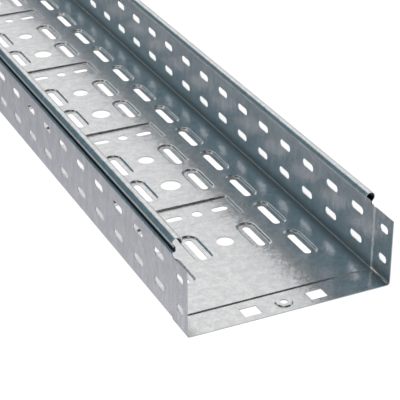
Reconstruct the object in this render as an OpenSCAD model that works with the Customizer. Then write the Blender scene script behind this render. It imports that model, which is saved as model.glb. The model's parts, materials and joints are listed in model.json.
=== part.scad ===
// Perforated cable tray: one folded sheet with rolled rims, dished slots and a socket end.
// Millimetres. X runs across the tray, Y along it (socket end at -Y) and Z up from the floor.

/* [Tray] */
// overall length, socket end included
tray_l = 2000; // [600:50:3000]
// outside width of the plain part
tray_w = 200; // [180:5:400]
// height from the underside of the base to the top of the rims
tray_h = 80; // [74:1:110]
// sheet thickness
sheet_t = 0.8; // [0.7:0.05:1.2]
// outside radius of the folds between base and walls
fold_r = 2; // [1.5:0.1:3]

/* [Rolled rim] */
// outside diameter of the rolled bead
bead_d = 10; // [8:0.1:11]
// height from the start of the shoulder to the top of the bead
rim_h = 15; // [14:0.5:18]
// outside radius of the two small bends that form the shoulder
shoulder_r = 1.8; // [1.4:0.1:2]
// how far the free edge of the roll, on its inner side, lies below the bead's centre
lip_h = 2; // [0.5:0.1:2.5]

/* [Socket end] */
// length of the widened end
socket_l = 30; // [24:1:50]
// length over which the sheet steps outwards
step_l = 1.5; // [1:0.1:4]
// clearance on each side between the socket and the next tray
socket_fit = 0.2; // [0.1:0.05:0.5]
// distance from the step to the cut ends of the rims
rim_setback = 0.5; // [0.5:0.5:8]
// how far the socket's walls stop below the shoulder
socket_drop = 0.5; // [0.5:0.5:3]

/* [Wall slots] */
// length of a wall slot
wall_slot_l = 21; // [14:0.5:24]
// width of a wall slot
wall_slot_w = 7.5; // [5:0.5:9]
// length of a slot in the socket's walls
socket_slot_l = 13; // [10:0.5:16]
// height of the lower row above the underside of the base
wall_row_low = 20; // [16:1:24]
// height of the upper row above the underside of the base
wall_row_high = 50; // [40:1:54]
// distance of the first full wall slot from the socket's mouth
wall_first = 59.5; // [56:0.5:70]

/* [Base pattern] */
// pitch of the dished slots along the tray
row_pitch = 62.5; // [60:0.5:75]
// distance of the first inner row from the socket's mouth
row_first = 132; // [120:1:140]
// distance of the inner columns from the centre line
col_inner = 30.5; // [27:0.5:34]
// distance of the outer columns from the centre line
col_outer = 63; // [60:0.5:70]
// length of the opening in a dished slot
base_slot_l = 39; // [32:0.5:42]
// width of the opening in a dished slot
base_slot_w = 7.5; // [6:0.5:9]
// width of the dish around a slot
dish_w = 20.5; // [18:0.5:22]
// depth of the dishes and of the fixing recesses
dish_h = 2; // [1:0.1:2.2]
// inside radius of the two bends in the edge of a dish
dish_r = 1; // [0.9:0.1:1.2]
// diameter of the smaller round holes on the centre line
hole_small_d = 17; // [12:0.5:18]
// diameter of the larger round holes on the centre line
hole_large_d = 21; // [19:0.5:24]

/* [Fixing recess] */
// length of a recess along the tray
recess_l = 41.5; // [38:0.5:46]
// width of a recess
recess_w = 84.5; // [78:0.5:90]
// radius of the corners of a recess
recess_r = 4; // [4:0.5:10]
// length of the two cross slots in a recess
cross_slot_l = 17; // [12:0.5:20]
// width of the two cross slots in a recess
cross_slot_w = 8; // [5:0.5:9]
// distance of a cross slot from the centre line
cross_slot_x = 24.5; // [20:0.5:28]
// diameter of the round hole in a recess
recess_hole_d = 10.5; // [6:0.5:12]

/* [Socket holes] */
// distance of the socket's row of holes from its mouth
socket_row = 14; // [12:0.5:16]
// size of a rectangular window across the tray
window_w = 16.5; // [10:0.5:20]
// size of a rectangular window along the tray
window_l = 13.5; // [8:0.5:15]
// distance of a window from the centre line
window_x = 33; // [26:0.5:40]
// diameter of the raised boss at its foot
boss_d = 17; // [14:0.5:20]
// height of the raised boss
boss_h = 1.2; // [0.8:0.1:2]
// diameter of the hole in the boss
boss_hole_d = 7; // [5:0.5:8]

/* [Hidden] */
$fn = 40;
eps = 0.01;
// offset of the socket from the plain tray, on the walls and under the base
socket_out = sheet_t + socket_fit;
// the dishes stand on the floor, so the base is lifted by their depth
lift = dish_h;
half_w = tray_w / 2;
shoulder_z = tray_h - rim_h;
bead_r = bead_d / 2;
bead_x = half_w - bead_r;
bead_z = tray_h - bead_r;
bend_in_r = shoulder_r - sheet_t;
neck_x = half_w - shoulder_r - bend_in_r;
neck_z = shoulder_z + shoulder_r + bend_in_r;
socket_top = shoulder_z - socket_drop;
rim_start = socket_l + step_l + rim_setback;
// the edge of a dish turns down and level again: outside radius, angle and length of the two bends
dish_out_r = dish_r + sheet_t;
dish_turn = acos(1 - dish_h / (dish_r + dish_out_r));
dish_run = (dish_r + dish_out_r) * sin(dish_turn);
// a dish is as much longer than its slot as it is wider
dish_l = base_slot_l + dish_w - base_slot_w;
// four wall slots go to three rows of the base
wall_pitch = row_pitch * 3 / 4;
// least distance from the last holes to the plain end
base_margin = 12;
wall_margin = 6;
row_count = floor((tray_l - row_first - dish_l / 2 - base_margin) / row_pitch) + 1;
outer_first = row_first - row_pitch / 2;
outer_count = floor((tray_l - outer_first - dish_l / 2 - base_margin) / row_pitch) + 1;
wall_count = floor((tray_l - wall_first - wall_slot_l / 2 - wall_margin) / wall_pitch) + 1;
inner_rows = [for (k = [0 : row_count - 1]) if (k % 3 != 1) row_first + k * row_pitch];
small_rows = [for (k = [0 : row_count - 1]) if (k % 3 == 0) row_first + k * row_pitch];
large_rows = [for (k = [0 : row_count - 1]) if (k % 3 == 2) row_first + k * row_pitch];
recess_rows = [for (k = [0 : row_count - 1]) if (k % 3 == 1) row_first + k * row_pitch];
outer_rows = [for (k = [0 : outer_count - 1]) outer_first + k * row_pitch];
wall_rows = [for (k = [0 : wall_count - 1]) wall_first + k * wall_pitch];

// Extrudes a section drawn in X and Z from one place along the tray to another.
module along(from, to) {
    translate([0, to, 0])
        rotate([90, 0, 0])
            linear_extrude(height = to - from)
                children();
}

// A slot outline with round ends, its length along X.
module slot_2d(length, width) {
    square([length - width, width], center = true);
    for (side = [-1, 1])
        translate([side * (length - width) / 2, 0])
            circle(d = width);
}

// A trough's filled section with folded lower corners.
module trough_2d(half, bottom, top, corner_r) {
    translate([-half, bottom + corner_r])
        square([2 * half, top - bottom - corner_r]);
    translate([-half + corner_r, bottom])
        square([2 * (half - corner_r), corner_r + eps]);
    for (side = [-1, 1])
        translate([side * (half - corner_r), bottom + corner_r])
            circle(r = corner_r);
}

// The folded section up to a given height, moved outwards by out.
module channel_2d(top, out) {
    difference() {
        trough_2d(half_w + out, -out, top, fold_r + out);
        trough_2d(half_w + out - sheet_t, sheet_t - out, top + 1, fold_r + out - sheet_t);
    }
}

// One quarter of a bend in the sheet, in the corner of a square that points at (sx, sz).
module bend_2d(sx, sz) {
    intersection() {
        difference() {
            circle(r = shoulder_r);
            circle(r = bend_in_r);
        }
        scale([sx, sz])
            square(shoulder_r);
    }
}

// The rim on the +X wall: shoulder, neck and rolled bead.
module rim_2d() {
    translate([half_w - shoulder_r, shoulder_z])
        bend_2d(1, 1);
    translate([half_w - shoulder_r, neck_z])
        bend_2d(-1, -1);
    translate([neck_x - sheet_t, neck_z])
        square([sheet_t, bead_z - neck_z - bead_r + sheet_t]);
    difference() {
        translate([bead_x, bead_z])
            circle(r = bead_r);
        translate([bead_x, bead_z])
            circle(r = bead_r - sheet_t);
        translate([bead_x - bead_r - eps, bead_z - bead_r - eps])
            square([neck_x - sheet_t - bead_x + bead_r + eps, bead_r - lip_h + eps]);
    }
}

// The sloped sheet of the step: X is the way outwards from the inside face, Y the way along the tray.
module step_2d() {
    polygon([[socket_out, 0], [socket_out + sheet_t, 0], [sheet_t, step_l], [0, step_l]]);
}

// The step between the plain tray and the socket, across the base, the folds and the walls.
module socket_step() {
    translate([fold_r - half_w, socket_l, sheet_t])
        rotate([0, 90, 0])
            linear_extrude(height = 2 * (half_w - fold_r))
                step_2d();
    for (side = [0, 1])
        mirror([side, 0, 0]) {
            translate([half_w - sheet_t, socket_l, fold_r])
                linear_extrude(height = socket_top - fold_r)
                    step_2d();
            translate([half_w - fold_r, socket_l, fold_r])
                rotate([-90, 0, 0])
                    rotate_extrude(angle = 90)
                        translate([fold_r - sheet_t, 0])
                            step_2d();
        }
}

// The folded sheet without holes: plain tray, rims, socket and the step between them.
module folded_sheet() {
    along(rim_start, tray_l) {
        channel_2d(shoulder_z, 0);
        rim_2d();
        mirror([1, 0])
            rim_2d();
    }
    along(socket_l + step_l, rim_start)
        channel_2d(socket_top, 0);
    socket_step();
    along(0, socket_l)
        channel_2d(socket_top, socket_out);
}

// Points of a dish's edge from the base inwards and down, through its upper and its lower bend.
function edge_points(edge_x, bend_r, level_r) = [
    for (a = [0, dish_turn / 2])
        [edge_x - bend_r * sin(a), sheet_t - dish_out_r + bend_r * cos(a)],
    for (a = [dish_turn / 2, 0])
        [edge_x - dish_run + level_r * sin(a), sheet_t - dish_h + dish_r - level_r * cos(a)]
];

// Half section of the metal that a dish adds below the base, its edge at edge_x.
module dish_metal_2d(edge_x) {
    polygon(concat(
        [[0, sheet_t / 2], [edge_x, sheet_t / 2]],
        edge_points(edge_x, dish_r, dish_out_r),
        [[0, -dish_h]]
    ));
}

// Half section of a dish's hollow, its edge at edge_x.
module dish_hollow_2d(edge_x) {
    polygon(concat(
        [[0, 2 * sheet_t], [edge_x, 2 * sheet_t]],
        edge_points(edge_x, dish_out_r, dish_r),
        [[0, sheet_t - dish_h]]
    ));
}

// A section and its mirror image, drawn along the tray.
module both_halves(length) {
    along(-length / 2, length / 2) {
        children();
        mirror([1, 0])
            children();
    }
}

// Sweeps a half section around a slot whose length lies along Y.
module around_slot() {
    straight = base_slot_l - base_slot_w;
    both_halves(straight)
        children();
    for (turn = [0, 180])
        rotate([0, 0, turn])
            translate([0, straight / 2, 0])
                rotate_extrude(angle = 180)
                    children();
}

// A recess from three half sections: its sides, its ends and its corners.
module around_recess() {
    both_halves(recess_l - 2 * recess_r)
        children(0);
    rotate([0, 0, 90])
        both_halves(recess_w - 2 * recess_r)
            children(1);
    for (mx = [0, 1], my = [0, 1])
        mirror([mx, 0, 0])
            mirror([0, my, 0])
                translate([recess_w / 2 - recess_r, recess_l / 2 - recess_r, 0])
                    rotate_extrude(angle = 90)
                        children(2);
}

// The metal of every dish and recess below the base.
module dish_metal() {
    at_dishes()
        around_slot()
            dish_metal_2d(dish_w / 2);
    at_recesses()
        around_recess() {
            dish_metal_2d(recess_w / 2);
            dish_metal_2d(recess_l / 2);
            dish_metal_2d(recess_r);
        }
}

// The hollow of every dish and recess.
module dish_hollows() {
    at_dishes()
        around_slot()
            dish_hollow_2d(dish_w / 2);
    at_recesses()
        around_recess() {
            dish_hollow_2d(recess_w / 2);
            dish_hollow_2d(recess_l / 2);
            dish_hollow_2d(recess_r);
        }
}

// Places a child at every dished slot of the base.
module at_dishes() {
    for (side = [-1, 1]) {
        for (y = inner_rows)
            translate([side * col_inner, y, 0])
                children();
        for (y = outer_rows)
            translate([side * col_outer, y, 0])
                children();
    }
}

// Places a child at every fixing recess.
module at_recesses() {
    for (y = recess_rows)
        translate([0, y, 0])
            children();
}

// A vertical cutter through the base.
module base_cut() {
    translate([0, 0, -dish_h - sheet_t])
        linear_extrude(height = dish_h + 4 * sheet_t)
            children();
}

// Every hole in the base of the plain tray.
module base_holes() {
    at_dishes()
        base_cut()
            rotate(90)
                slot_2d(base_slot_l, base_slot_w);
    for (y = small_rows)
        translate([0, y, 0])
            base_cut()
                circle(d = hole_small_d);
    for (y = large_rows)
        translate([0, y, 0])
            base_cut()
                circle(d = hole_large_d);
    at_recesses()
        base_cut() {
            circle(d = recess_hole_d);
            for (side = [-1, 1])
                translate([side * cross_slot_x, 0])
                    slot_2d(cross_slot_l, cross_slot_w);
        }
}

// Slots through both walls at one place along the tray.
module wall_slots(y, length) {
    for (z = [wall_row_low, wall_row_high])
        translate([-half_w - 2 * socket_out, y, z])
            rotate([90, 0, 90])
                linear_extrude(height = 2 * half_w + 4 * socket_out)
                    slot_2d(length, wall_slot_w);
}

// The raised boss in the socket, grown outwards on top or hollowed below.
module boss(top) {
    translate([0, socket_row, top])
        cylinder(d1 = boss_d, d2 = boss_d - 2 * boss_h, h = boss_h);
}

// Windows and boss hole in the socket.
module socket_holes() {
    translate([0, socket_row, 0]) {
        for (side = [-1, 1])
            translate([side * window_x, 0, 0])
                base_cut()
                    square([window_w, window_l], center = true);
        base_cut()
            circle(d = boss_hole_d);
    }
}

// The whole tray in its own frame.
module tray() {
    color([0.72, 0.74, 0.76])
        translate([0, -tray_l / 2, lift])
            difference() {
                union() {
                    folded_sheet();
                    boss(sheet_t - socket_out);
                    dish_metal();
                }
                dish_hollows();
                boss(-socket_out - eps);
                base_holes();
                for (y = wall_rows)
                    wall_slots(y, wall_slot_l);
                wall_slots(socket_row, socket_slot_l);
                socket_holes();
            }
}

tray();
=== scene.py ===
"""Looks of a galvanised, perforated cable tray.

The zinc finish, the studio and the camera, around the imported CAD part.
"""

import json
import logging
import math
from dataclasses import dataclass, field
from enum import Enum
from typing import Any

import bmesh
import bpy
from mathutils import Matrix, Vector

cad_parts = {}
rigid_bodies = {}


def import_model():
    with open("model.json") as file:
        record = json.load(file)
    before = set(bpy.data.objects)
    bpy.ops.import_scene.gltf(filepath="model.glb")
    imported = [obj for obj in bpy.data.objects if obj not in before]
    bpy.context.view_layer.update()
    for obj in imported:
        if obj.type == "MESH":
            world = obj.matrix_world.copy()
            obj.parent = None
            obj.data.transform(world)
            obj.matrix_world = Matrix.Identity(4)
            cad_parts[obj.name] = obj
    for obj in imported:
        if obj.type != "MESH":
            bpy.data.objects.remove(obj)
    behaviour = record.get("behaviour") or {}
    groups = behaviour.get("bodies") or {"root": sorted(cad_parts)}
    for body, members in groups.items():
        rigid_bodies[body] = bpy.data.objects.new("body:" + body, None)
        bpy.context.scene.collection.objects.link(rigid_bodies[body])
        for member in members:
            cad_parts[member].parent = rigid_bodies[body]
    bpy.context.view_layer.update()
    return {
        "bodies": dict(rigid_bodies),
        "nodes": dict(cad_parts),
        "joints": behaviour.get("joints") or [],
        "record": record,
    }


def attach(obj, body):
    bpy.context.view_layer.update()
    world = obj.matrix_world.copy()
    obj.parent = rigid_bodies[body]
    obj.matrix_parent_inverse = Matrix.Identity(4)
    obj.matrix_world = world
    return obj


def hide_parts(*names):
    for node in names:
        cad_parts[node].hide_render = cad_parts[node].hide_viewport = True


LOG = logging.getLogger("cable_tray")
CUT_MARK = "cut_edge"
PAINTED_RIM_SHADE_MARK = "hollow"
INNER_MARK = "inner_side"
WHITE = (1.0, 1.0, 1.0, 1.0)

Colour = tuple[float, float, float, float]
Point = tuple[float, float, float]
Stop = tuple[float, float]


class Interp(Enum):
    """How a colour ramp blends between its stops."""

    SMOOTH = "EASE"
    LINEAR = "LINEAR"


class NodeBench:
    """Places nodes in a node tree and joins them with few words."""

    # Where a Mix node keeps its share, its two colours and its result.
    MIX_SHARE = 0
    MIX_FIRST = 6
    MIX_SECOND = 7
    MIX_RESULT = 2

    def __init__(self, tree: bpy.types.NodeTree) -> None:
        """Keeps the tree and clears it.

        Args:
            tree: The node tree to fill.
        """
        self.tree = tree
        self.tree.nodes.clear()

    def add(self, kind: str, **settings: Any) -> bpy.types.Node:
        """Adds a node and sets its properties.

        Args:
            kind: The node's type name.
            settings: Properties of the node.

        Returns:
            The new node.
        """
        node = self.tree.nodes.new(kind)
        for name, value in settings.items():
            setattr(node, name, value)
        return node

    def join(self, source: Any, target: Any) -> None:
        """Links one socket to another."""
        self.tree.links.new(source, target)

    def ramp(self, source: Any, low: Stop, high: Stop, interp: Interp) -> Any:
        """Maps a value through a two-stop grey ramp.

        Args:
            source: The socket to map.
            low: Position and grey of the first stop.
            high: Position and grey of the second stop.
            interp: How the ramp blends.

        Returns:
            The ramp's colour socket.
        """
        node = self.add("ShaderNodeValToRGB")
        node.color_ramp.interpolation = interp.value
        for stop, (place, grey) in zip(node.color_ramp.elements, (low, high)):
            stop.position = place
            stop.color = (grey, grey, grey, 1.0)
        self.join(source, node.inputs["Fac"])
        return node.outputs["Color"]

    def mix(self, share: Any, first: Any, second: Any) -> Any:
        """Blends two colours by a share.

        Args:
            share: The socket that drives the blend.
            first: A colour or a socket, shown where the share is 0.
            second: A colour or a socket, shown where the share is 1.

        Returns:
            The blended colour's socket.
        """
        node = self.add("ShaderNodeMix", data_type="RGBA")
        self.join(share, node.inputs[self.MIX_SHARE])
        for side, place in ((first, self.MIX_FIRST), (second, self.MIX_SECOND)):
            if isinstance(side, bpy.types.NodeSocket):
                self.join(side, node.inputs[place])
            else:
                node.inputs[place].default_value = side
        return node.outputs[self.MIX_RESULT]


@dataclass(frozen=True)
class ZincSheet:
    """Zinc-coated steel sheet: grey, softly mirroring and faintly mottled.

    It is dull where it was cut. Painted shade darkens it along the inner folds and in the bores and grooves
    of the rolled rims.
    """

    name: str = "zinc_sheet"
    pale: Colour = (0.99, 0.98, 0.983, 1.0)
    dull: Colour = (0.83, 0.85, 0.855, 1.0)
    cut: Colour = (0.80, 0.80, 0.80, 1.0)
    # Painted shade: near black painted into the rims' bores and the groove under the rolled rims.
    hollow: Colour = (0.07, 0.08, 0.09, 1.0)
    # Painted shade: grey painted along the inner folds between base and walls, fading out over fold_reach.
    folded: Colour = (0.54, 0.55, 0.55, 1.0)
    fold_line: Point = (0.0992, 0.0, 0.0028)
    fold_reach: float = 0.014
    crystal: Colour = (0.66, 0.68, 0.70, 1.0)
    crystal_scale: float = 420.0
    crystal_share: float = 0.32
    crystal_band: Stop = (0.35, 0.65)
    crystal_tilt: float = 0.05
    cloud_scale: float = 110.0
    cloud_band: Stop = (0.36, 0.64)
    cloud_detail: float = 5.0
    cloud_break: float = 0.62
    grain_scale: float = 2600.0
    grain_band: Stop = (0.40, 0.62)
    grain_detail: float = 2.0
    streak: Point = (1.0, 1.0, 0.35)
    rough_low: float = 0.18
    rough_high: float = 0.32
    rough_cut: float = 0.55
    ripple: float = 0.12
    ripple_height: float = 0.0006

    def mottle_group(self) -> bpy.types.NodeTree:
        """Builds the mottling: clouds, fine grain and crystals, with the crystals' lean.

        Returns:
            The shader node group.
        """
        tree = bpy.data.node_groups.new("zinc_mottle", "ShaderNodeTree")
        for name in ("Cloud Scale", "Grain Scale", "Crystal Scale"):
            tree.interface.new_socket(name, in_out="INPUT", socket_type="NodeSocketFloat")
        for name in ("Cloud", "Grain", "Crystal"):
            tree.interface.new_socket(name, in_out="OUTPUT", socket_type="NodeSocketFloat")
        tree.interface.new_socket("Tilt", in_out="OUTPUT", socket_type="NodeSocketVector")
        bench = NodeBench(tree)
        take = bench.add("NodeGroupInput")
        give = bench.add("NodeGroupOutput")
        place = bench.add("ShaderNodeTexCoord")
        stretch = bench.add("ShaderNodeMapping")
        stretch.inputs["Scale"].default_value = self.streak
        bench.join(place.outputs["Object"], stretch.inputs["Vector"])
        cloud = bench.add("ShaderNodeTexNoise")
        cloud.inputs["Detail"].default_value = self.cloud_detail
        cloud.inputs["Roughness"].default_value = self.cloud_break
        grain = bench.add("ShaderNodeTexNoise")
        grain.inputs["Detail"].default_value = self.grain_detail
        cells = bench.add("ShaderNodeTexVoronoi")
        for texture, out in ((cloud, "Cloud"), (grain, "Grain"), (cells, "Crystal")):
            bench.join(stretch.outputs["Vector"], texture.inputs["Vector"])
            bench.join(take.outputs[f"{out} Scale"], texture.inputs["Scale"])
            bench.join(texture.outputs["Color" if texture is cells else "Fac"], give.inputs[out])
        lean = bench.add("ShaderNodeVectorMath", operation="SUBTRACT")
        lean.inputs[1].default_value = (0.5, 0.5, 0.5)
        bench.join(cells.outputs["Color"], lean.inputs[0])
        bench.join(lean.outputs["Vector"], give.inputs["Tilt"])
        return tree

    def fold_shade_share(self, bench: NodeBench) -> Any:
        """Makes the mask of the painted shade: 1 on the inner folds between base and walls, fading out
        beside them.

        Args:
            bench: The material's nodes.

        Returns:
            The mask's socket.
        """
        place = bench.add("ShaderNodeTexCoord")
        either = bench.add("ShaderNodeVectorMath", operation="ABSOLUTE")
        bench.join(place.outputs["Object"], either.inputs[0])
        across = bench.add("ShaderNodeVectorMath", operation="MULTIPLY")
        across.inputs[1].default_value = (1.0, 0.0, 1.0)
        bench.join(either.outputs["Vector"], across.inputs[0])
        away = bench.add("ShaderNodeVectorMath", operation="DISTANCE")
        away.inputs[1].default_value = self.fold_line
        bench.join(across.outputs["Vector"], away.inputs[0])
        fade = bench.add("ShaderNodeMapRange", interpolation_type="SMOOTHSTEP")
        fade.inputs["From Max"].default_value = self.fold_reach
        fade.inputs["To Min"].default_value = 1.0
        fade.inputs["To Max"].default_value = 0.0
        bench.join(away.outputs["Value"], fade.inputs["Value"])
        inner = bench.add("ShaderNodeAttribute", attribute_name=INNER_MARK)
        share = bench.add("ShaderNodeMath", operation="MULTIPLY")
        bench.join(fade.outputs["Result"], share.inputs[0])
        bench.join(inner.outputs["Fac"], share.inputs[1])
        return share.outputs["Value"]

    def tone(self, bench: NodeBench, mottle: bpy.types.Node, edge: Any) -> Any:
        """Blends the zinc's tones, its cut edges and its painted shade in the inner folds and in the rims'
        bores and grooves.

        Args:
            bench: The material's nodes.
            mottle: The mottling's group node.
            edge: The socket that is 1 on cut edges.

        Returns:
            The colour's socket.
        """
        (cloud_low, cloud_high), (cell_low, cell_high) = self.cloud_band, self.crystal_band
        clouds = bench.ramp(mottle.outputs["Cloud"], (cloud_low, 0.0), (cloud_high, 1.0), Interp.SMOOTH)
        cells = bench.ramp(
            mottle.outputs["Crystal"], (cell_low, self.crystal_share), (cell_high, 0.0), Interp.LINEAR
        )
        tint = bench.mix(cells, bench.mix(clouds, self.dull, self.pale), self.crystal)
        # Painted shade along the inner folds.
        fold_shaded = bench.mix(self.fold_shade_share(bench), tint, self.folded)
        skin = bench.mix(edge, fold_shaded, self.cut)
        # Painted shade: the rims' bores and grooves are painted near black.
        shade = bench.add("ShaderNodeAttribute", attribute_name=PAINTED_RIM_SHADE_MARK)
        return bench.mix(shade.outputs["Fac"], skin, self.hollow)

    def roughness(self, bench: NodeBench, mottle: bpy.types.Node, edge: Any) -> Any:
        """Blends how rough the zinc and its cut edges are.

        Args:
            bench: The material's nodes.
            mottle: The mottling's group node.
            edge: The socket that is 1 on cut edges.

        Returns:
            The roughness's socket.
        """
        smooth, coarse = zip(self.grain_band, (self.rough_low, self.rough_high))
        grains = bench.ramp(mottle.outputs["Grain"], smooth, coarse, Interp.SMOOTH)
        return bench.mix(edge, grains, (self.rough_cut,) * 3 + (1.0,))

    def relief(self, bench: NodeBench, mottle: bpy.types.Node) -> Any:
        """Leans the crystals a little and ripples the sheet by its clouds.

        Args:
            bench: The material's nodes.
            mottle: The mottling's group node.

        Returns:
            The normal's socket.
        """
        surface = bench.add("ShaderNodeNewGeometry")
        lean = bench.add("ShaderNodeVectorMath", operation="MULTIPLY_ADD")
        lean.inputs[1].default_value = (self.crystal_tilt,) * 3
        bench.join(mottle.outputs["Tilt"], lean.inputs[0])
        bench.join(surface.outputs["Normal"], lean.inputs[2])
        facet = bench.add("ShaderNodeVectorMath", operation="NORMALIZE")
        bench.join(lean.outputs["Vector"], facet.inputs[0])
        bump = bench.add("ShaderNodeBump")
        bump.inputs["Strength"].default_value = self.ripple
        bump.inputs["Distance"].default_value = self.ripple_height
        bench.join(facet.outputs["Vector"], bump.inputs["Normal"])
        bench.join(mottle.outputs["Cloud"], bump.inputs["Height"])
        return bump.outputs["Normal"]

    def build(self) -> bpy.types.Material:
        """Builds the material.

        Returns:
            The zinc sheet's material.
        """
        material = bpy.data.materials.new(self.name)
        material.use_nodes = True
        bench = NodeBench(material.node_tree)
        out = bench.add("ShaderNodeOutputMaterial")
        shader = bench.add("ShaderNodeBsdfPrincipled")
        shader.inputs["Metallic"].default_value = 1.0
        mottle = bench.add("ShaderNodeGroup", node_tree=self.mottle_group())
        mottle.inputs["Cloud Scale"].default_value = self.cloud_scale
        mottle.inputs["Grain Scale"].default_value = self.grain_scale
        mottle.inputs["Crystal Scale"].default_value = self.crystal_scale
        edge = bench.add("ShaderNodeAttribute", attribute_name=CUT_MARK).outputs["Fac"]
        bench.join(self.tone(bench, mottle, edge), shader.inputs["Base Color"])
        bench.join(self.roughness(bench, mottle, edge), shader.inputs["Roughness"])
        bench.join(self.relief(bench, mottle), shader.inputs["Normal"])
        bench.join(shader.outputs["BSDF"], out.inputs["Surface"])
        return material


@dataclass(frozen=True)
class RolledRim:
    """Where the rolled rims have their bore, the groove below them and the lip of their free edge; the bore
    and the groove get painted shade.
    """

    axis_x: float = 0.095
    axis_z: float = 0.077
    bore: float = 0.0043
    groove_x: float = 0.0981
    groove_low: float = 0.0685
    groove_high: float = 0.0735
    lip_in: float = 0.0890
    lip_out: float = 0.0906
    lip_high: float = 0.0763
    lip_low: float = 0.0740

    def in_hollow(self, place: Vector, normal: Vector) -> bool:
        """Tells whether a face gets painted shade, as it lies in the bore or faces outwards in the depth of
        the groove.

        Args:
            place: The face's centre.
            normal: The face's normal.

        Returns:
            True in the bore and in the groove.
        """
        out = abs(place.x)
        if math.hypot(out - self.axis_x, place.z - self.axis_z) < self.bore:
            return True
        in_groove = self.axis_x < out < self.groove_x and self.groove_low < place.z < self.groove_high
        return in_groove and normal.x * place.x >= 0.0

    def in_lip(self, place: Vector) -> bool:
        """Tells whether a face lies on the lip of the free edge."""
        return self.lip_in < abs(place.x) < self.lip_out and self.lip_low < place.z < self.lip_high


@dataclass
class SheetSkin:
    """Sorts the faces of a sheet-metal mesh into flats, bends and cut edges, and shades the bends round.

    A plane is a patch of faces in one plane, a side is a patch without a sharp crease in it.

    Args:
        mesh: The welded mesh.
    """

    mesh: bmesh.types.BMesh
    rim: RolledRim = field(default_factory=RolledRim)
    # Largest angle between faces of one plane, and of one side.
    same_plane: float = math.radians(0.4)
    crease: float = math.radians(50.0)
    # From which width a plane is flat, and up to which a side is a cut edge.
    flat_width: float = 0.0025
    cut_width: float = 0.0011
    # How much of its own normal a lone strip between two flats keeps.
    step_share: float = 0.65
    # From which shared border two planes run along each other.
    long_run: float = 0.1
    least_border: float = 1e-9
    # How far a face must turn up or inwards to face the trough.
    facing: float = 0.3
    plane: list[int] = field(init=False)
    side: list[int] = field(init=False)
    span: list[float] = field(init=False)
    flat: list[bool] = field(init=False)
    along: dict[int, set[int]] = field(init=False)

    def __post_init__(self) -> None:
        """Finds the planes and the sides, the planes' widths and which of them run along each other."""
        self.plane = self.patches(self.same_plane)
        self.side = self.patches(self.crease)
        shared = self.borders(self.plane)
        self.span = self.widths(self.plane, shared)
        self.flat = [width > self.flat_width for width in self.span]
        self.along = {}
        for (one, two), run in shared.items():
            if run > self.long_run:
                self.along.setdefault(one, {one}).add(two)
                self.along.setdefault(two, {two}).add(one)

    def patches(self, limit: float) -> list[int]:
        """Numbers the faces by the patch they lie in.

        Args:
            limit: The largest angle between two faces of one patch.

        Returns:
            One patch number for each face.
        """
        number = [-1] * len(self.mesh.faces)
        count = 0
        for seed in self.mesh.faces:
            if number[seed.index] >= 0:
                continue
            number[seed.index] = count
            pile = [seed]
            while pile:
                face = pile.pop()
                for edge in face.edges:
                    if len(edge.link_faces) != 2 or edge.calc_face_angle(math.pi) > limit:
                        continue
                    for other in edge.link_faces:
                        if number[other.index] < 0:
                            number[other.index] = count
                            pile.append(other)
            count += 1
        return number

    def borders(self, number: list[int]) -> dict[tuple[int, int], float]:
        """Measures how far each two patches run along each other.

        Args:
            number: The patch number of each face.

        Returns:
            The length of the shared border for each pair of patches.
        """
        shared: dict[tuple[int, int], float] = {}
        for edge in self.mesh.edges:
            sides = sorted({number[face.index] for face in edge.link_faces})
            if len(sides) == 2:
                pair = (sides[0], sides[1])
                shared[pair] = shared.get(pair, 0.0) + edge.calc_length()
        return shared

    def widths(self, number: list[int], shared: dict[tuple[int, int], float]) -> list[float]:
        """Measures how wide each patch is, as twice its area over its border.

        Args:
            number: The patch number of each face.
            shared: The length of the border that each two patches share.

        Returns:
            One width for each patch.
        """
        area = [0.0] * (max(number) + 1)
        border = [self.least_border] * len(area)
        for face in self.mesh.faces:
            area[number[face.index]] += face.calc_area()
        for pair, run in shared.items():
            for patch in pair:
                border[patch] += run
        return [2.0 * whole / around for whole, around in zip(area, border)]

    def faces_in(self, place: Vector, normal: Vector) -> bool:
        """Tells whether a face lies on the side of the sheet that faces the trough.

        Args:
            place: The face's centre.
            normal: The face's normal.

        Returns:
            True on the upper side of the base and the inner side of the walls.
        """
        inward = -math.copysign(1.0, place.x) * normal.x
        return normal.z + inward > self.facing

    def mark(self) -> None:
        """Marks the cut edges, the rims' bores and grooves that get painted shade, and the side that faces
        the trough, where the inner folds get painted shade.
        """
        widths = self.widths(self.side, self.borders(self.side))
        cut = self.mesh.faces.layers.float.new(CUT_MARK)
        hollow = self.mesh.faces.layers.float.new(PAINTED_RIM_SHADE_MARK)
        inner = self.mesh.faces.layers.float.new(INNER_MARK)
        for face in self.mesh.faces:
            centre = face.calc_center_median()
            narrow = widths[self.side[face.index]] < self.cut_width
            face[cut] = float(narrow or self.rim.in_lip(centre))
            # Painted shade mask of the rims' bores and grooves.
            face[hollow] = float(self.rim.in_hollow(centre, face.normal))
            face[inner] = float(self.faces_in(centre, face.normal))

    def same_side(self, face: bmesh.types.BMFace, corner: bmesh.types.BMVert) -> list[bmesh.types.BMFace]:
        """Lists the faces round a corner that lie on the same side of the sheet as a face."""
        return [other for other in corner.link_faces if self.side[other.index] == self.side[face.index]]

    def hinged(self) -> set[int]:
        """Finds the planes with a corner that no flat of their side touches.

        Returns:
            The numbers of those planes, which lie inside a bend.
        """
        found = set()
        for face in self.mesh.faces:
            for corner in face.verts:
                if not any(self.flat[self.plane[other.index]] for other in self.same_side(face, corner)):
                    found.add(self.plane[face.index])
        return found

    def normals(self) -> list[Vector]:
        """Works out a normal for every face corner, so that the bends look round.

        Returns:
            The normals, in the order of the mesh's loops.
        """
        hinged = self.hinged()
        found = []
        for face in self.mesh.faces:
            own = self.plane[face.index]
            for loop in face.loops:
                if self.flat[own]:
                    found.append(face.normal.copy())
                    continue
                bend = self.bend_normal(face, loop.vert)
                if own not in hinged:
                    bend = bend.lerp(face.normal, self.step_share)
                found.append(bend.normalized())
        return found

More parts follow.
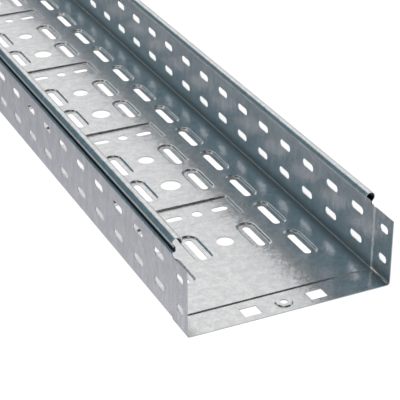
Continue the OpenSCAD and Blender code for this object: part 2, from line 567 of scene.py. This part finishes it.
    def bend_normal(self, face: bmesh.types.BMFace, corner: bmesh.types.BMVert) -> Vector:
        """Averages the strips that meet at a corner of a bend, the narrow ones most.

        Args:
            face: A face of the bend.
            corner: One of its corners.

        Returns:
            The flats' normal where flats meet the corner, and otherwise the strips'.
        """
        own = self.plane[face.index]
        strips = {
            self.plane[other.index]: other.normal
            for other in self.same_side(face, corner)
            if own not in self.along or self.plane[other.index] in self.along[own]
        }
        firm = {patch: normal for patch, normal in strips.items() if self.flat[patch]}
        total = Vector((0.0, 0.0, 0.0))
        for patch, normal in (firm or strips).items():
            total += normal / self.span[patch]
        return total.normalized()


@dataclass
class FoldedTray:
    """The tray: one folded sheet, shown by a welded copy of its CAD node whose bends are shaded round."""

    node: str = "tray"
    body: str = "root"
    weld: float = 2e-6
    finish: ZincSheet = field(default_factory=ZincSheet)

    def build(self, frame: dict[str, Any]) -> bpy.types.Object:
        """Welds a copy of the CAD node and gives it its finish.


        Returns:
            The sheet that stands for the node.
        """
        source = frame["nodes"][self.node].data
        skin = bmesh.new()
        skin.from_mesh(source)
        bmesh.ops.remove_doubles(skin, verts=skin.verts, dist=self.weld)
        for face in skin.faces:
            face.smooth = True
        skin.faces.index_update()
        skin.normal_update()
        sheet_skin = SheetSkin(skin)
        sheet_skin.mark()
        normals = sheet_skin.normals()
        mesh = bpy.data.meshes.new("folded_sheet")
        skin.to_mesh(mesh)
        skin.free()
        mesh.normals_split_custom_set(normals)
        mesh.materials.append(self.finish.build())
        sheet = bpy.data.objects.new("folded_sheet", mesh)
        bpy.context.collection.objects.link(sheet)
        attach(sheet, self.body)
        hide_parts(self.node)
        LOG.info("built %s: %d faces", sheet.name, len(mesh.polygons))
        return sheet


@dataclass(frozen=True)
class PaleFloor:
    """A matt pale floor that the camera sees as white."""

    name: str = "pale_floor"
    half_side: float = 12.0
    colour: Colour = (0.52, 0.52, 0.52, 1.0)
    shown: float = 0.80
    mirrored: float = 0.10
    tint: Colour = (0.70, 0.65, 1.0, 1.0)

    def material(self) -> bpy.types.Material:
        """Builds the floor's material: matt, and nearly white where the camera looks at it.

        Returns:
            The material.
        """
        material = bpy.data.materials.new(self.name)
        material.use_nodes = True
        bench = NodeBench(material.node_tree)
        out = bench.add("ShaderNodeOutputMaterial")
        matt = bench.add("ShaderNodeBsdfDiffuse")
        matt.inputs["Color"].default_value = self.colour
        glow = bench.add("ShaderNodeEmission")
        path = bench.add("ShaderNodeLightPath")
        bench.join(bench.mix(path.outputs["Is Glossy Ray"], WHITE, self.tint), glow.inputs["Color"])
        share = bench.add("ShaderNodeMath", operation="MULTIPLY")
        share.inputs[1].default_value = self.shown
        bench.join(path.outputs["Is Camera Ray"], share.inputs[0])
        also = bench.add("ShaderNodeMath", operation="MULTIPLY_ADD")
        also.inputs[1].default_value = self.mirrored
        bench.join(path.outputs["Is Glossy Ray"], also.inputs[0])
        bench.join(share.outputs["Value"], also.inputs[2])
        bench.join(also.outputs["Value"], glow.inputs["Strength"])
        both = bench.add("ShaderNodeAddShader")
        bench.join(matt.outputs["BSDF"], both.inputs[0])
        bench.join(glow.outputs["Emission"], both.inputs[1])
        bench.join(both.outputs["Shader"], out.inputs["Surface"])
        return material

    def build(self) -> bpy.types.Object:
        """Lays the floor under the tray.

        Returns:
            The floor object.
        """
        return flat_panel(self.name, self.half_side, self.half_side, Matrix.Identity(4), self.material())


@dataclass(frozen=True)
class ShadeCard:
    """A card beside or above the tray, which the metal mirrors and the camera does not see.

    It stands at a compass angle from its target, which is the tray's near end unless given, faces it
    and may lean over it. Angles are in degrees and lengths in metres.
    """

    name: str
    azimuth: float
    distance: float
    foot: float
    length: float
    height: float
    lean: float
    colour: Colour
    target: Point = (0.0, -0.7, 0.0)
    glow: float = 0.0

    def material(self) -> bpy.types.Material:
        """Builds the card's matt material.

        Returns:
            The material.
        """
        material = bpy.data.materials.new(self.name)
        material.use_nodes = True
        bench = NodeBench(material.node_tree)
        out = bench.add("ShaderNodeOutputMaterial")
        matt = bench.add("ShaderNodeBsdfPrincipled")
        matt.inputs["Base Color"].default_value = self.colour
        matt.inputs["Roughness"].default_value = 1.0
        matt.inputs["Specular IOR Level"].default_value = 0.0
        matt.inputs["Emission Color"].default_value = self.colour
        matt.inputs["Emission Strength"].default_value = self.glow
        bench.join(matt.outputs["BSDF"], out.inputs["Surface"])
        return material

    def build(self) -> bpy.types.Object:
        """Stands the card up.

        Returns:
            The card object.
        """
        place = (
            Matrix.Translation(Vector(self.target))
            @ Matrix.Rotation(math.radians(-self.azimuth), 4, "Z")
            @ Matrix.Translation(Vector((0.0, self.distance, self.foot)))
            @ Matrix.Rotation(math.radians(90.0 + self.lean), 4, "X")
            @ Matrix.Translation(Vector((0.0, self.height / 2.0, 0.0)))
        )
        card = flat_panel(self.name, self.length / 2.0, self.height / 2.0, place, self.material())
        card.visible_camera = False
        card.visible_diffuse = False
        card.visible_shadow = False
        return card


@dataclass(frozen=True)
class SoftLamp:
    """A large area lamp that looks at a point of the tray."""

    name: str
    place: Point
    aim: Point
    width: float
    height: float
    power: float

    def build(self) -> bpy.types.Object:
        """Hangs the lamp.

        Returns:
            The lamp object.
        """
        data = bpy.data.lights.new(self.name, "AREA")
        data.shape = "RECTANGLE"
        data.size, data.size_y = self.width, self.height
        data.energy = self.power
        lamp = bpy.data.objects.new(self.name, data)
        lamp.location = self.place
        lamp.visible_glossy = False
        aim = Vector(self.aim) - Vector(self.place)
        lamp.rotation_euler = aim.to_track_quat("-Z", "Y").to_euler()
        bpy.context.collection.objects.link(lamp)
        return lamp


@dataclass(frozen=True)
class PhotoCamera:
    """The photograph's viewpoint, in metres in the tray's frame."""

    place: Point = (-0.5503, -1.9755, 0.7185)
    look: Point = (0.3759, 0.7943, -0.4772)
    focal_px: float = 1507.8
    image_px: float = 400.0
    sensor_mm: float = 36.0
    near: float = 0.05
    far: float = 100.0

    def build(self) -> bpy.types.Object:
        """Sets the camera up and makes it the scene's own.

        Returns:
            The camera object.
        """
        data = bpy.data.cameras.new("photo_camera")
        data.sensor_width = self.sensor_mm
        data.lens = self.focal_px / self.image_px * self.sensor_mm
        data.clip_start, data.clip_end = self.near, self.far
        camera = bpy.data.objects.new("photo_camera", data)
        camera.location = self.place
        camera.rotation_euler = Vector(self.look).to_track_quat("-Z", "Y").to_euler()
        bpy.context.collection.objects.link(camera)
        bpy.context.scene.camera = camera
        return camera


@dataclass
class Studio:
    """White surroundings, a pale floor, a soft lamp and tinted cards for the metal to mirror."""

    floor: PaleFloor = field(default_factory=PaleFloor)
    cards: tuple[ShadeCard, ...] = (
        ShadeCard(
            name="left_flag", azimuth=-44.0, distance=4.0, foot=0.0, length=5.9, height=4.8, lean=0.0,
            colour=(0.29, 0.49, 0.60, 1.0),
        ),
        ShadeCard(
            name="left_apron", azimuth=-90.0, distance=0.17, foot=0.002, length=5.0, height=3.0, lean=-90.0,
            colour=(0.17, 0.25, 0.26, 1.0), target=(0.0, 0.5, 0.0),
        ),
        ShadeCard(
            name="right_roof", azimuth=90.0, distance=0.14, foot=3.0, length=6.3, height=2.6, lean=-90.0,
            colour=(0.16, 0.16, 0.16, 1.0), target=(0.0, -2.35, 0.0),
        ),
        ShadeCard(
            name="left_roof", azimuth=-90.0, distance=0.14, foot=3.0, length=6.3, height=2.0, lean=-90.0,
            colour=(0.16, 0.16, 0.16, 1.0), target=(0.0, -2.35, 0.0),
        ),
        ShadeCard(
            name="right_fence", azimuth=90.0, distance=0.13, foot=0.0, length=2.4, height=0.097, lean=0.0,
            colour=(0.39, 0.42, 0.44, 1.0), target=(0.0, 0.0, 0.0), glow=0.7,
        ),
    )
    lamps: tuple[SoftLamp, ...] = (
        SoftLamp(
            name="key_lamp", place=(-1.2, -2.4, 2.0), aim=(0.0, -0.7, 0.0), width=1.6, height=1.6, power=60.0
        ),
    )
    daylight: float = 0.30

    def build_world(self) -> None:
        """Makes the surroundings white to the camera and to mirrors, and softer as light."""
        world = bpy.data.worlds.new("white_room")
        world.use_nodes = True
        bench = NodeBench(world.node_tree)
        out = bench.add("ShaderNodeOutputWorld")
        path = bench.add("ShaderNodeLightPath")
        seen = bench.add("ShaderNodeMath", operation="MAXIMUM")
        bench.join(path.outputs["Is Camera Ray"], seen.inputs[0])
        bench.join(path.outputs["Is Glossy Ray"], seen.inputs[1])
        also = bench.add("ShaderNodeMath", operation="MAXIMUM")
        bench.join(seen.outputs["Value"], also.inputs[0])
        bench.join(path.outputs["Is Transmission Ray"], also.inputs[1])
        level = bench.add("ShaderNodeMapRange")
        level.inputs["To Min"].default_value = self.daylight
        level.inputs["To Max"].default_value = 1.0
        bench.join(also.outputs["Value"], level.inputs["Value"])
        sky = bench.add("ShaderNodeBackground")
        bench.join(level.outputs["Result"], sky.inputs["Strength"])
        bench.join(sky.outputs["Background"], out.inputs["Surface"])
        bpy.context.scene.world = world

    def build(self) -> None:
        """Builds the floor, the cards, the lamps and the surroundings."""
        self.floor.build()
        for card in self.cards:
            card.build()
        for lamp in self.lamps:
            lamp.build()
        self.build_world()
        LOG.info("studio ready: %d lamp(s), %d card(s)", len(self.lamps), len(self.cards))


def flat_panel(
    name: str, half_x: float, half_y: float, place: Matrix, material: bpy.types.Material
) -> bpy.types.Object:
    """Makes a flat rectangular panel with its place in its mesh.

    Args:
        name: The object's name.
        half_x: Half its length.
        half_y: Half its height.
        place: Where it goes.
        material: Its finish.

    Returns:
        The panel.
    """
    sheet = bmesh.new()
    bmesh.ops.create_grid(sheet, x_segments=1, y_segments=1, size=1.0)
    bmesh.ops.scale(sheet, vec=(half_x, half_y, 1.0), verts=sheet.verts)
    bmesh.ops.transform(sheet, matrix=place, verts=sheet.verts)
    mesh = bpy.data.meshes.new(name)
    sheet.to_mesh(mesh)
    sheet.free()
    mesh.materials.append(material)
    panel = bpy.data.objects.new(name, mesh)
    bpy.context.collection.objects.link(panel)
    return panel


def main() -> None:
    """Dresses the tray, sets up the studio and the camera."""
    logging.basicConfig(level=logging.INFO, format="%(name)s: %(message)s")
    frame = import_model()
    FoldedTray().build(frame)
    Studio().build()
    PhotoCamera().build()
    bpy.context.scene.view_settings.view_transform = "Standard"


if __name__ == "__main__":
    main()
